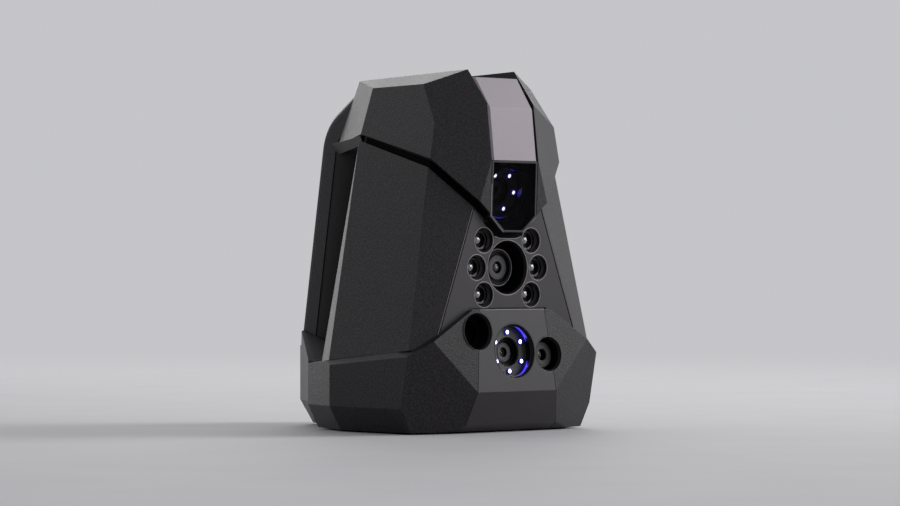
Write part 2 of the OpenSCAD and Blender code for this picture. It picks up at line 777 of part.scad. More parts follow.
module flat_key(along, grow, deep, shallow)
    grip_box(key_w / 2 + grow, along - key_h / 2 - grow, along + key_h / 2 + grow, deep, shallow);
module light_bar(grow, deep, shallow)
    grip_box(key_w / 4 + grow, light_z - wall / 4 - grow, light_z + wall / 4 + grow, deep,
        shallow);
module control_bezel() place() color("#19181a") difference() {
    grip_box(bezel_w, bezel_low, bezel_high, bezel_in, fit_gap);
    round_key(scan_z, fit_gap, 2 * bezel_in, -bezel_in);
    for (s = [-1, 1]) flat_key(scan_z + s * key_step, fit_gap, 2 * bezel_in, -bezel_in);
    light_bar(fit_gap / 3, 2 * bezel_in, -bezel_in);
}
cap_in = bezel_in + fit_gap + stop_t;
module scan_button() place() color("#b9b6ba") {
    round_key(scan_z, 0, cap_in, -proud);
    round_key(scan_z, stop_w, cap_in, bezel_in + fit_gap);
}
module flat_button(along) {
    flat_key(along, 0, cap_in, -proud);
    flat_key(along, stop_w, cap_in, bezel_in + fit_gap);
}
module plus_button() place() color("#57545a") flat_button(scan_z + key_step);
module minus_button() place() color("#57545a") flat_button(scan_z - key_step);
module status_light() place() color("#7fd6ff") light_bar(0, bezel_in, fit_gap);
switch_w = 2;
module button_board() place() color("#1f5a3a") {
    grip_box(0.75 * grip_w, bezel_low - wall, bezel_high - wall / 2, board_in + board_t, board_in);
    for (s = [-1, 0, 1])
        grip_box(switch_w, scan_z + s * key_step - switch_w, scan_z + s * key_step + switch_w,
            board_in + board_t / 2, cap_in + press + fit_gap);
}

// Cameras: steps of radius and depth behind the hole's face, from the rim to the ring that
// the lens sits behind
mouth = 0.8;
sleeve_gap = 0.2;
lip = 1.4;
lens_t = 2.4;
rim_t = 0.7;
function barrel_profile(r, lens, pupil, steps, back) = let (face = steps[len(steps) - 1].y)
    concat([[r, -mouth], [r, -back], [lens, -back], [lens, -face - lip], [pupil, -face - lip],
        [pupil, -face]],
    [for (i = [len(steps) - 1 : -1 : 0])
        each [[steps[i].x, -steps[i].y], [steps[i].x, i > 0 ? -steps[i - 1].y : -2 * mouth]]]);
module barrel(r, lens, pupil, steps, back)
    rotate_extrude() polygon(barrel_profile(r, lens, pupil, steps, back));
module before_frame() slab_y(-span, frame_y - board_t);
module lens(r, face) translate([0, 0, -face - lip]) intersection() {
    translate([0, 0, -lens_t]) cylinder(r = r - press_gap, h = lens_t);
    translate([0, 0, -2 * r]) sphere(2 * r);
}
module sensor_board(p, side) place() color("#1f5a3a")
    box([p.x - side / 2, frame_y - board_t, p.z - side / 2],
        [p.x + side / 2, frame_y, p.z + side / 2]);
middle_out = middle_r - sleeve_gap;
middle_in = 8.2;
middle_pupil_r = 3;
middle_steps = [[middle_out - rim_t, 1.6 * middle_in], [0.69 * middle_out, 0.89 * middle_in],
    [0.57 * middle_out, 1.09 * middle_in], [0.455 * middle_out, middle_in]];
module middle_camera() place() color("#151516") intersection() {
    facing(middle_at) barrel(middle_out, lens_r, middle_pupil_r, middle_steps, 2 * frame_y);
    before_frame();
}
module middle_lens() place() color("#6c6a7c", 0.6) facing(middle_at) lens(lens_r, middle_in);
module middle_board() sensor_board(middle_at, 1.8 * middle_r);

ring_in = 5.5;
ring_t = 1.2;
ring_bore = 7.6;
lower_out = lower_r - sleeve_gap;
lens_in = 9;
pupil_r = 2.4;
face_r = 5.1;
lower_steps = [[lower_out - rim_t, ring_in + ring_t], [1.4 * face_r, 0.93 * lens_in],
    [1.2 * face_r, 1.06 * lens_in], [face_r, lens_in]];
module lower_camera() place() color("#151516") intersection() {
    facing(lower_at, nose_a)
        barrel(lower_out, small_lens_r, pupil_r, lower_steps, 2 * frame_y);
    before_frame();
}
module lower_lens() place() color("#6c6a7c", 0.6)
    facing(lower_at, nose_a) lens(small_lens_r, lens_in);
module lower_board() sensor_board(lower_at - [0, 0, (frame_y - lower_at.y) * tan(nose_a)],
    1.6 * lower_r);
upper_out = 14;
upper_steps = [[upper_out - rim_t, ring_in + ring_t], [1.4 * face_r, 0.93 * lens_in],
    [1.2 * face_r, 1.06 * lens_in], [face_r, lens_in]];
module upper_facing() facing(upper_at, -upper_tilt) translate([0, 0, ring_in]) children();
module upper_camera() place() color("#151516") intersection() {
    upper_facing() barrel(upper_out, small_lens_r, pupil_r, upper_steps, 2 * frame_y);
    before_frame();
}
module upper_lens() place() color("#6c6a7c", 0.6) upper_facing()
    lens(small_lens_r, lens_in);
module upper_board() sensor_board(upper_at + [0, 0, (frame_y - upper_at.y) * tan(upper_tilt)],
    1.7 * upper_out);
colour_out = colour_r - sleeve_gap;
colour_in = 5.4;
colour_pupil_r = 2.9;
colour_steps = [[colour_out - rim_t, 1.7 * colour_in], [0.83 * colour_out, 1.2 * colour_in],
    [0.74 * colour_out, colour_in]];
module colour_camera() place() color("#151516") intersection() {
    facing(colour_at, nose_a)
        barrel(colour_out, small_lens_r, colour_pupil_r, colour_steps, 2 * frame_y);
    before_frame();
}
module colour_lens() place() color("#6c6a7c", 0.6)
    facing(colour_at, nose_a) lens(small_lens_r, colour_in);
module colour_board() sensor_board(
    colour_at - [-wall, 0, (frame_y - colour_at.y) * tan(nose_a)], 1.9 * colour_r);
projector_out = projector_r - sleeve_gap;
projector_in = 13;
projector_pupil_r = 4;
projector_steps = [[projector_out - rim_t, 0.7 * projector_in],
    [0.75 * projector_out, projector_in]];
module projector() place() color("#0e0e0f") intersection() {
    facing(projector_at, nose_a)
        barrel(projector_out, small_lens_r, projector_pupil_r, projector_steps, 2 * frame_y);
    slab_y(-span, frame_y);
}
module projector_lens() place() color("#30303c", 0.6)
    facing(projector_at, nose_a) lens(small_lens_r, projector_in);

module ring_board(r) translate([0, 0, -ring_in - ring_t]) difference() {
    cylinder(r = r - press_gap, h = ring_t);
    translate([0, 0, -ring_t]) cylinder(r = ring_bore, h = 3 * ring_t);
}
lamp_r = 1.25;
lamp_t = 0.7;
ring_turn = 30;
ring_count = 6;
module ring_of_lamps(start)
    for (i = [0 : ring_count - 1]) rotate(start + i * 360 / ring_count)
        translate([ring_lamp_r, 0, -ring_in]) cylinder(r = lamp_r, h = lamp_t);
module ring_boards() place() color("#8b8d92") {
    facing(lower_at, nose_a) ring_board(lower_out - rim_t);
    upper_facing() ring_board(upper_out - rim_t);
}
module ring_lamps() place() color("#f4f6ff") {
    facing(lower_at, nose_a) ring_of_lamps(ring_turn);
    upper_facing() ring_of_lamps(0);
}
cup_l = 9.4;
cup_out = flash_r - sleeve_gap;
cup_rim = 0.8;
cup_throat = 2.4;
bowl_in = 5;
module flash_cups() place() color("#0d0d0e") flashes() rotate_extrude()
    polygon([[cup_out, -mouth], [cup_out, -wall], [cup_out + cup_rim, -wall],
        [cup_out + cup_rim, -wall - cup_rim], [cup_out, -wall - cup_rim], [cup_out, -cup_l],
        [cup_throat, -cup_l], [cup_throat, -bowl_in], [0.6 * cup_out, -bowl_in],
        [0.6 * cup_out, -0.75 * bowl_in], [0.74 * cup_out, -0.7 * bowl_in],
        [0.74 * cup_out, -0.5 * bowl_in], [cup_out - cup_rim, -2 * mouth],
        [cup_out - cup_rim, -mouth]]);
flash_lens_r = cup_throat - fit_gap;
module flash_lamps() place() color("#f2efe2") flashes() intersection() {
    translate([0, 0, -cup_l]) cylinder(r = flash_lens_r, h = cup_l);
    translate([0, 0, -bowl_in - 1.5 * flash_lens_r]) sphere(2 * flash_lens_r);
}
module lamp_board() place() color("#1f5a3a") difference() {
    standing(cup_l, cup_l + board_t,
        mirrored([[0.44 * half_w, middle_at.z - 1.5 * middle_r],
            [0.44 * half_w, middle_at.z + 1.5 * middle_r]]));
    facing(middle_at) translate([0, 0, -2 * cup_l]) cylinder(r = middle_r, h = 2 * cup_l);
}

// The frame that carries the cameras and the main board
frame_top = 0.78 * scanner_h;
stand_l = 7;
stand_r = 2.5;
stand_places = [for (x = [-0.28, 0.28], z = [0.335, 0.595]) [x * half_w, z * scanner_h]];
wire_r = 4;
module optical_frame() place() color("#6d7074") difference() {
    union() {
        standing(frame_y, frame_y + frame_t, mirrored([[0.55 * half_w, floor_z],
            [0.55 * half_w, 0.35 * scanner_h], [0.36 * half_w, 0.4 * scanner_h],
            [0.36 * half_w, frame_top]]));
        box([-0.55 * half_w, frame_y + frame_t, floor_z],
            [0.55 * half_w, frame_y + frame_t + flange_l, floor_z + frame_t]);
        for (p = stand_places) along_y(p, stand_r, frame_y + frame_t, frame_y + frame_t + stand_l);
    }
    for (z = [lower_at.z, middle_at.z, frame_top - 1.4 * upper_out])
        along_y([0, z], wire_r, frame_y - frame_t, frame_y + 2 * frame_t);
    for (p = frame_screw_places)
        translate([p.x, p.y, 0]) cylinder(r = screw_r + thread_gap, h = floor_z + 2 * frame_t);
}
module frame_screws() place() color("#8a8a8c")
    for (p = frame_screw_places) translate([p.x, p.y, floor_z + frame_t]) {
        difference() {
            cylinder(r = head_r, h = head_h);
            translate([0, 0, head_h / 2]) cylinder(r = head_r / 2, h = head_h, $fn = 6);
        }
        translate([0, 0, -frame_t - wall / 2]) cylinder(r = screw_r, h = frame_t + wall / 2);
    }
board_y = frame_y + frame_t + stand_l;
chip_z = 0.465 * scanner_h;
chip_w = 20;
chip_t = 2;
module main_board() place() color("#1f5a3a") {
    standing(board_y, board_y + board_t,
        mirrored([[0.5 * half_w, 0.3 * scanner_h], [0.5 * half_w, 0.63 * scanner_h]]));
    for (x = [-0.38, 0.38], z = [0.34, 0.44, 0.56])
        translate([x * half_w, board_y + board_t + chip_t / 2, z * scanner_h])
            cube([chip_w / 2, chip_t, chip_w / 2], center = true);
    for (z = [0.315, 0.605])
        translate([0, board_y + board_t + chip_t, z * scanner_h])
            cube([1.4 * chip_w, 2 * chip_t, chip_w / 4], center = true);
}
module processor() place() color("#222226")
    translate([0, board_y + board_t + chip_t / 2, chip_z])
        cube([chip_w, chip_t, chip_w], center = true);
sink_w = 30;
sink_t = 2.5;
fin_l = 11;
fin_t = 1.2;
fins = 8;
module heat_sink() place() color("#8f9296") {
    sink_y = board_y + board_t + chip_t;
    box([-sink_w / 2, sink_y, chip_z - sink_w / 2],
        [sink_w / 2, sink_y + sink_t, chip_z + sink_w / 2]);
    for (i = [0 : fins - 1])
        box([-sink_w / 2 + i * (sink_w - fin_t) / (fins - 1), sink_y, chip_z - sink_w / 2],
            [-sink_w / 2 + i * (sink_w - fin_t) / (fins - 1) + fin_t, sink_y + sink_t + fin_l,
             chip_z + sink_w / 2]);
}
hub_r = 5.5;
pin_r = 1.2;
pin_gap = 0.06;
blade_gap = 0.6;
spider_t = 1;
module fan_housing() place() color("#161617") translate([0, fan_y, fan_top - fan_t]) {
    difference() {
        translate([-fan_w / 2, -fan_w / 2, 0]) cube([fan_w, fan_w, fan_t]);
        translate([0, 0, -fan_t]) cylinder(r = fan_w / 2 - wall / 2, h = 3 * fan_t);
    }
    cylinder(r = hub_r, h = spider_t);
    cylinder(r = pin_r, h = 0.8 * fan_t);
    for (a = [0, 120, 240]) rotate(a)
        translate([hub_r / 2, -spider_t, 0]) cube([fan_w / 2 - wall / 4 - hub_r / 2,
            2 * spider_t, spider_t]);
}
module fan_rotor() place() color("#232326") translate([0, fan_y, fan_top - fan_t]) {
    difference() {
        translate([0, 0, spider_t + fit_gap]) cylinder(r = hub_r, h = fan_t - spider_t - 4 * fit_gap);
        translate([0, 0, -fan_t]) cylinder(r = pin_r + pin_gap, h = 1.8 * fan_t + fit_gap);
    }
    for (i = [0 : fan_blades - 1]) rotate(i * 360 / fan_blades)
        translate([hub_r - wall / 4, 0, fan_t / 2 + fit_gap]) rotate([35, 0, 0])
            translate([0, -fan_t / 2, -spider_t / 3])
                cube([fan_w / 2 - wall / 2 - blade_gap - hub_r, fan_t, 2 * spider_t / 3]);
}

left_head_shell();
right_head_shell();
spine_cover();
roof_strip();
window_frame();
window_glass();
neck_band();
left_body_shell();
right_body_shell();
centre_panel();
rear_cover();
left_base_shell();
right_base_shell();
nose_cover();
bottom_plate();
feet();
underside_cover();
handle_back();
handle_front();
grip_pad();
control_bezel();
scan_button();
plus_button();
minus_button();
status_light();
button_board();
power_button();
upper_camera();
upper_lens();
upper_board();
middle_camera();
middle_lens();
middle_board();
lower_camera();
lower_lens();
lower_board();
colour_camera();
colour_lens();
colour_board();
projector();
projector_lens();
ring_boards();
ring_lamps();
flash_cups();
flash_lamps();
lamp_board();
optical_frame();
main_board();
processor();
heat_sink();
fan_housing();
fan_rotor();
socket_board();
data_socket();
power_socket();
tripod_insert();
plate_screws();
frame_screws();
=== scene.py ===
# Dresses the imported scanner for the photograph: finishes for the CAD pieces, the small
# turned and moulded details on them, a pale studio and the camera.
import math

import bpy
from mathutils import Matrix, Vector


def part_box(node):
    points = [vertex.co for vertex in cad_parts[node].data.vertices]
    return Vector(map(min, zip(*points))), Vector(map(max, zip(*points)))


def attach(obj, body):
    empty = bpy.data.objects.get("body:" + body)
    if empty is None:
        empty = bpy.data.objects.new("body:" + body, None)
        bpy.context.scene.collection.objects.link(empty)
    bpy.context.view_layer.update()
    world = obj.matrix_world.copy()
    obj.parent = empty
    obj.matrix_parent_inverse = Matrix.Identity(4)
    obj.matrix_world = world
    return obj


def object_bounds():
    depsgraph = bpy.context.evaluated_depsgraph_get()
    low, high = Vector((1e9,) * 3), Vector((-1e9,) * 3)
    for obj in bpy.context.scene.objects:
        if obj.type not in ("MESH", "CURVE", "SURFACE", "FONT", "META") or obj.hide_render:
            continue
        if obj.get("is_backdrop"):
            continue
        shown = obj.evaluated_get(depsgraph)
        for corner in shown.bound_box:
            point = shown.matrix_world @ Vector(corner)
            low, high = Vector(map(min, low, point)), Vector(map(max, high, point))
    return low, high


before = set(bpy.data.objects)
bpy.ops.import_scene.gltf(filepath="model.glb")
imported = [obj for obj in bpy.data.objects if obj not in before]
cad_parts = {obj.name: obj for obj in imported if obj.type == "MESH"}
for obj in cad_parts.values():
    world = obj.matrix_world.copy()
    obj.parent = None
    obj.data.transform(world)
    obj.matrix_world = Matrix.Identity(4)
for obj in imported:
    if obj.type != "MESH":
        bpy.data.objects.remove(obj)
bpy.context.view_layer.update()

MM = 0.001


def shift(x, y, z):
    """A move in mm."""
    return Matrix.Translation((x * MM, y * MM, z * MM))


def turn(degrees, axis="Z"):
    """A turn round an axis."""
    return Matrix.Rotation(math.radians(degrees), 4, axis)


# The CAD draws everything from the front panel, and then moves it forwards by this many mm
PANEL_Y = 71.04


def facing(x, y, z, up=0):
    """The frame of a hole in the front, y mm behind the panel. Its Z points out of the hole,
    tilted up by an angle."""
    return shift(x, y - PANEL_Y, z) @ turn(90 - up, "X")


# The places and tilts of the holes are the CAD's
NOSE_UP, WINDOW_DOWN = 5.444, 15
MIDDLE_Z, FLASH_CIRCLE = 85.62, 22
MIDDLE = facing(0, 0, MIDDLE_Z)
LOWER = facing(0, -5.42, 42.25, NOSE_UP)
PROJECTOR = facing(-25.1, -4.43, 52.62, NOSE_UP)
COLOUR = facing(24.5, -5.6, 40.3, NOSE_UP)
UPPER = facing(0, 7.01, 125.1, -WINDOW_DOWN) @ shift(0, 0, 5.5)
FLASHES = [facing(side * FLASH_CIRCLE * math.cos(math.radians(angle)), 0,
                  MIDDLE_Z + FLASH_CIRCLE * math.sin(math.radians(angle)))
           for side in (-1, 1) for angle in (-40, 0, 40)]
# The back of the handle: X across, Y out of its back, Z up along it
HANDLE_LEAN = 9.5
GRIP = shift(0, 149.49 - PANEL_Y, 43.38) @ turn(HANDLE_LEAN, "X")

bpy.ops.object.select_all(action="DESELECT")

# Camera and light. The camera was fitted to the corners of the photographed facets: it is
# level, and stands 43.5 degrees round from the scanner's front.
scene = bpy.context.scene
camera = bpy.data.objects.new("camera", bpy.data.cameras.new("camera"))
scene.collection.objects.link(camera)
camera.location = (-1.2611, -1.3999, 0.085)
camera.rotation_euler = (math.radians(90), 0, math.radians(-43.5))
camera.data.sensor_width = 36
camera.data.lens = 140.7
camera.data.shift_x = -0.064
camera.data.shift_y = 0.0174
scene.camera = camera
scene.view_settings.view_transform = "Standard"

SCANNER_MIDDLE = Vector((0, 0, 0.09))


def softbox(name, place, size, watts):
    """A square lamp, its place and size in metres, that looks at the scanner's middle."""
    lamp = bpy.data.objects.new(name, bpy.data.lights.new(name, "AREA"))
    scene.collection.objects.link(lamp)
    lamp.data.shape = "SQUARE"
    lamp.data.size = size
    lamp.data.energy = watts
    lamp.location = place
    lamp.visible_camera = False
    lamp.rotation_mode = "QUATERNION"
    lamp.rotation_quaternion = (SCANNER_MIDDLE - lamp.location).to_track_quat("-Z", "Y")


softbox("key_softbox", (1.45, -0.9, 1.1), 0.9, 18)
softbox("back_softbox", (1.15, 1.25, 0.9), 1.1, 7)
softbox("rear_softbox", (0.1, 2.0, 0.5), 0.8, 5)
softbox("left_softbox", (-0.85, 1.2, 1.25), 0.6, 2)
softbox("right_softbox", (1.85, -0.1, 0.35), 0.9, 2)
softbox("side_softbox", (1.6, -1.0, 0.4), 0.6, 3.5)
softbox("front_softbox", (1.0, -1.7, 0.7), 0.6, 5)

# Finishes


def tone(code):
    """An sRGB hex colour as a linear one."""
    parts = [int(code[i:i + 2], 16) / 255 for i in (1, 3, 5)]
    return tuple(p / 12.92 if p <= 0.04045 else ((p + 0.055) / 1.055) ** 2.4
                 for p in parts) + (1.0,)


def add(tree, kind, sockets=None, stops=None, **settings):
    """Adds a node. A socket given as a value is set, and one given as a socket is linked."""
    node = tree.nodes.new(kind)
    for key, value in settings.items():
        setattr(node, key, value)
    for key, value in (sockets or {}).items():
        if isinstance(value, bpy.types.NodeSocket):
            tree.links.new(value, node.inputs[key])
        else:
            node.inputs[key].default_value = value
    if stops:
        ramp = node.color_ramp.elements
        while len(ramp) < len(stops):
            ramp.new(1)
        for stop, (place, colour) in zip(ramp, stops):
            stop.position, stop.color = place, tone(colour)
    return node


def fresh(name):
    """An empty material with its tree, and its Object coordinates."""
    material = bpy.data.materials.new(name)
    material.use_nodes = True
    tree = material.node_tree
    tree.nodes.clear()
    return material, tree, add(tree, "ShaderNodeTexCoord").outputs["Object"]


def surface(tree, sockets):
    """The shader and the output."""
    shader = add(tree, "ShaderNodeBsdfPrincipled", sockets)
    add(tree, "ShaderNodeOutputMaterial", {"Surface": shader.outputs[0]})


def plastic(name, dark, light, rough, grain, depth, edge, cloud=30, spread=0.03,
            shine=0.5, coat=0.0):
    """A moulded plastic between a dark and a light colour. In mm: the width and depth of its
    grain, the rounding of its edges, and the width of the soft clouds in its gloss. Its
    roughness varies by spread, shine is its specular level, and coat is a hard clear coat."""
    material, tree, place = fresh(name)
    grains = add(tree, "ShaderNodeTexNoise",
                 {"Vector": place, "Scale": 1 / (grain * MM), "Detail": 2.0}).outputs[0]
    clouds = add(tree, "ShaderNodeTexNoise",
                 {"Vector": place, "Scale": 1 / (cloud * MM), "Detail": 1.0}).outputs[0]
    colour = add(tree, "ShaderNodeValToRGB", {"Fac": grains},
                 stops=[(0.36, dark), (0.66, light)]).outputs[0]
    gloss = add(tree, "ShaderNodeMapRange", {"Value": clouds, "To Min": rough - spread,
                                             "To Max": rough + spread}).outputs[0]
    rounded = add(tree, "ShaderNodeBevel", {"Radius": edge * MM}, samples=4).outputs[0]
    relief = add(tree, "ShaderNodeBump", {"Height": grains, "Distance": depth * MM,
                                          "Strength": 1.0, "Normal": rounded}).outputs[0]
    surface(tree, {"Base Color": colour, "Roughness": gloss, "Normal": relief, "IOR": 1.46,
                   "Specular IOR Level": shine, "Coat Weight": coat, "Coat IOR": 2.4})
    return material


def paint(material, *names):
    """Puts a finish on CAD nodes."""
    for name in names:
        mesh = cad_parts[name].data
        mesh.materials.clear()
        mesh.materials.append(material)


# ABS-PC, spark-grained in the mould: a dark charcoal whose grain breaks up its shine. The
# real grain is about 0.2 mm wide, and it is drawn at 0.9 mm so that it shows.
# Its faint violet tint is a painted cast of violet light.
GRAINED = plastic("grained_abs", "#0d0b0d", "#2a262a", rough=0.42, grain=0.9, depth=0.15,
                  edge=0.45, shine=0.34)
paint(GRAINED, "left_head_shell", "right_head_shell", "left_body_shell", "right_body_shell",
      "left_base_shell", "right_base_shell", "handle_front")
# ABS, sprayed with a fine pale grey metallic lacquer: smooth, with a soft sheen
# Its faint violet tint is a painted cast of violet light.
LACQUER = plastic("silver_lacquered_abs", "#968d95", "#9e959d", rough=0.36, grain=0.25,
                  depth=0.004, edge=0.3)
paint(LACQUER, "spine_cover")
# ABS, satin-lacquered: smooth dark grey, with a soft sheen
SATIN = plastic("satin_abs", "#221e23", "#29252a", rough=0.38, grain=0.3, depth=0.006,
                edge=0.5)
paint(SATIN, "centre_panel", "nose_cover")
# ABS, the same lacquer over a darker moulding: a nearly black frame for the window
paint(plastic("dark_satin_abs", "#110f12", "#171518", rough=0.4, grain=0.3, depth=0.006,
              edge=0.5), "window_frame")
# ABS, fine-etched in the mould: the back of the handle, smoother than the shells
paint(plastic("etched_abs", "#1f1d20", "#29272a", rough=0.4, grain=0.35, depth=0.01,
              edge=0.6), "handle_back")
# ABS, moulded with a deep matte grain, and made so black that the sunk band reads as a
# shadow: painted shade.
MATTE_SHADE = plastic("matte_abs_painted_shade", "#030303", "#080708", rough=0.75, grain=0.5, depth=0.03,
                edge=0.3, shine=0.05)
paint(MATTE_SHADE, "neck_band")
# ABS, moulded black and left as it is: half matte and even
BLACK = plastic("black_abs", "#0b0a0c", "#151416", rough=0.5, grain=0.5, depth=0.02,
                edge=0.3, shine=0.3)
# The underside cover, the ceiling of the arch over the grip, is made black to match how dark
# it looks there: partly painted shade.
paint(BLACK, "roof_strip", "rear_cover", "underside_cover", "bottom_plate", "control_bezel",
      "fan_housing", "fan_rotor", "power_socket")
# Nylon with glass fibre, moulded black: the lens barrels, which stay dark under the lamps
BARREL = plastic("black_glass_nylon", "#040404", "#0a0a0b", rough=0.38, grain=0.3,
                 depth=0.008, edge=0.18, shine=0.16)
paint(BARREL, "upper_camera", "middle_camera", "lower_camera", "colour_camera", "projector")
# Polycarbonate, polished in the mould: glossy black flash cups with small highlights
paint(plastic("polished_black_pc", "#020202", "#060607", rough=0.16, grain=3, depth=0.0,
              edge=0.15, cloud=8, shine=0.3), "flash_cups")
# TPE, moulded soft over the grip: matte black with a coarse grain
paint(plastic("grip_tpe", "#121113", "#1d1c1e", rough=0.72, grain=0.9, depth=0.08,
              edge=0.3), "grip_pad")
# Silicone rubber, moulded: the dull feet
paint(plastic("foot_silicone", "#111112", "#19191a", rough=0.65, grain=1.2, depth=0.02,
              edge=0.25), "feet")
# PBT, two-shot moulded: satin keys with a slight gloss on their rounded edges
paint(plastic("pale_key_pbt", "#b3b0b4", "#bdbabd", rough=0.4, grain=0.3, depth=0.004,
              edge=0.35), "scan_button")
paint(plastic("grey_key_pbt", "#4a474c", "#524f54", rough=0.42, grain=0.3, depth=0.004,
              edge=0.35), "plus_button", "minus_button")
paint(plastic("red_key_pbt", "#7c2b2b", "#863132", rough=0.4, grain=0.3, depth=0.004,
              edge=0.35), "power_button")
# Epoxy moulding compound: the processor's dull body
paint(plastic("chip_epoxy", "#1b1b1d", "#232326", rough=0.55, grain=0.2, depth=0.005,
              edge=0.1), "processor")


def metal(name, base, rough, grit, depth, stretch=(1, 1, 1)):
    """A metal. In mm: the width and depth of its marks. Stretch draws them out."""
    material, tree, place = fresh(name)
    drawn = add(tree, "ShaderNodeMapping", {"Vector": place, "Scale": stretch}).outputs[0]
    marks = add(tree, "ShaderNodeTexNoise",
                {"Vector": drawn, "Scale": 1 / (grit * MM), "Detail": 3.0}).outputs[0]
    gloss = add(tree, "ShaderNodeMapRange", {"Value": marks, "To Min": rough - 0.08,
                                             "To Max": rough + 0.1}).outputs[0]
    rounded = add(tree, "ShaderNodeBevel", {"Radius": 0.12 * MM}, samples=4).outputs[0]
    relief = add(tree, "ShaderNodeBump", {"Height": marks, "Distance": depth * MM,
                                          "Strength": 1.0, "Normal": rounded}).outputs[0]
    surface(tree, {"Base Color": tone(base), "Metallic": 1.0, "Roughness": gloss,
                   "Normal": relief})
    return material


# Aluminium, die-cast and blasted: pale and sandy
paint(metal("cast_aluminium", "#a9abad", rough=0.5, grit=0.5, depth=0.02), "optical_frame")
# Aluminium, extruded: drawn lines up the fins
paint(metal("extruded_aluminium", "#b4b6b9", rough=0.35, grit=0.4, depth=0.01,
            stretch=(8, 8, 0.5)), "heat_sink")
# Stainless steel, stamped: bright and smooth
paint(metal("stamped_steel", "#b9babd", rough=0.28, grit=0.3, depth=0.004), "data_socket")
# Steel, zinc-plated: a softer grey shine
ZINC = metal("zinc_plated_steel", "#a7a8ab", rough=0.35, grit=0.4, depth=0.006)
paint(ZINC, "plate_screws", "frame_screws")
# Brass, turned on a lathe: fine rings that follow the tool
BRASS = metal("turned_brass", "#c9a257", rough=0.3, grit=0.3, depth=0.006,
              stretch=(1, 1, 6))
paint(BRASS, "tripod_insert")


def board(name, mask, track, gloss):
    """A circuit board: solder mask over copper tracks, drawn as lines 3 mm apart."""
    material, tree, place = fresh(name)
    cells = add(tree, "ShaderNodeTexBrick",
                {"Vector": place, "Scale": 1 / (3 * MM), "Mortar Size": 0.06,
                 "Color1": tone(mask), "Color2": tone(mask), "Mortar": tone(track)})
    relief = add(tree, "ShaderNodeBump", {"Height": cells.outputs["Fac"],
                                          "Distance": 0.03 * MM, "Strength": 0.6}).outputs[0]
    surface(tree, {"Base Color": cells.outputs["Color"], "Roughness": gloss,
                   "Normal": relief})
    return material


# Glass-epoxy laminate under green, black and grey solder mask: satin, with paler tracks
paint(board("green_masked_laminate", "#123d28", "#2a6a48", 0.35), "middle_board",
      "lower_board", "colour_board", "main_board", "socket_board", "button_board")
paint(board("black_masked_laminate", "#060607", "#0d0d0f", 0.4), "lamp_board",
      "upper_board")
paint(board("grey_masked_laminate", "#2c2b28", "#353430", 0.45), "ring_boards")


def lens_glass(name, axis, stops, reach):
    """A coated lens on the Z of an axis: rings of colour out to reach mm stand for the rims
    and the iris inside, and a pale middle stands for a painted highlight. The long scale
    leaves only the distance from the axis."""
    material, tree, place = fresh(name)
    local = add(tree, "ShaderNodeMapping",
                {"Vector": place, "Location": axis.translation, "Rotation": axis.to_euler(),
                 "Scale": (reach * MM, reach * MM, 1000.0)},
                vector_type="TEXTURE").outputs[0]
    away = add(tree, "ShaderNodeVectorMath", {0: local}, operation="LENGTH")
    rings = add(tree, "ShaderNodeValToRGB", {"Fac": away.outputs["Value"]},
                stops=stops).outputs[0]
    surface(tree, {"Base Color": rings, "Roughness": 0.08, "IOR": 1.6,
                   "Specular IOR Level": 0.3})
    return material


# Optical glass, ground, polished and coated: dark, with a few grey rings deep inside
paint(lens_glass("big_coated_lens", MIDDLE, [
    (0.0, "#1a191b"), (0.74, "#2b2a2c"), (0.82, "#080809")], 3.4), "middle_lens")
# The front element's pale middle is a painted highlight: the glint on its dome.
FRONT_ELEMENT = lens_glass("front_element_glass_painted_glint", MIDDLE, [
    (0.0, "#c4c0c4"), (0.28, "#9b989c"), (0.42, "#151416"), (0.6, "#121113"),
    (0.7, "#565357"), (0.88, "#434044"), (1.0, "#0c0c0d")], 2.0)
SMALL_RINGS = [(0.0, "#020202"), (0.45, "#040405"), (0.52, "#5a575a"), (0.68, "#4a484b"),
               (0.76, "#0a0a0b")]
paint(lens_glass("lower_coated_lens", LOWER, SMALL_RINGS, 3.2), "lower_lens")
paint(lens_glass("upper_coated_lens", UPPER, SMALL_RINGS, 3.2), "upper_lens")
paint(lens_glass("colour_coated_lens", COLOUR, [
    (0.0, "#020203"), (0.8, "#060607"), (0.95, "#121214")], 4), "colour_lens")
paint(lens_glass("projector_coated_lens", PROJECTOR, [
    (0.0, "#010102"), (0.6, "#030304"), (0.9, "#060607")], 5), "projector_lens")


def tinted_window():
    """Acrylic, cast, dyed nearly black and coated against glare: only lamps show through."""
    material, tree, place = fresh("dyed_acrylic")
    waves = add(tree, "ShaderNodeTexNoise",
                {"Vector": place, "Scale": 1 / (25 * MM)}).outputs[0]
    gloss = add(tree, "ShaderNodeMapRange", {"Value": waves, "To Min": 0.03,
                                             "To Max": 0.07}).outputs[0]
    surface(tree, {"Base Color": tone("#010104"), "Roughness": gloss, "IOR": 1.49,
                   "Specular IOR Level": 0.08, "Alpha": 0.45})
    return material


paint(tinted_window(), "window_glass")


def lit(name, colour, glow, strength):
    """A lit lamp's resin: it glows evenly, and its gloss has a faint milky variation."""
    material, tree, place = fresh(name)
    milk = add(tree, "ShaderNodeTexNoise",
               {"Vector": place, "Scale": 1 / (2 * MM)}).outputs[0]
    cloud = add(tree, "ShaderNodeMapRange", {"Value": milk, "To Min": 0.25,
                                             "To Max": 0.35}).outputs[0]
    surface(tree, {"Base Color": tone(colour), "Roughness": cloud,
                   "Emission Color": tone(glow), "Emission Strength": strength})
    return material


# Silicone-filled LED, lit: a white dot that is brighter than all round it
paint(lit("white_led", "#f2f2f6", "#f6f4ff", 4.0), "ring_lamps")
# Silicone, moulded blue: the collar that each small lamp sits in, lit from inside
COLLAR = lit("blue_collar_silicone", "#120e3a", "#2418d0", 0.35)
# Acrylic light pipe, polished: an even pale blue bar on the bezel
paint(lit("status_light_acrylic", "#9fd8ee", "#7fd6ff", 0.7), "status_light")
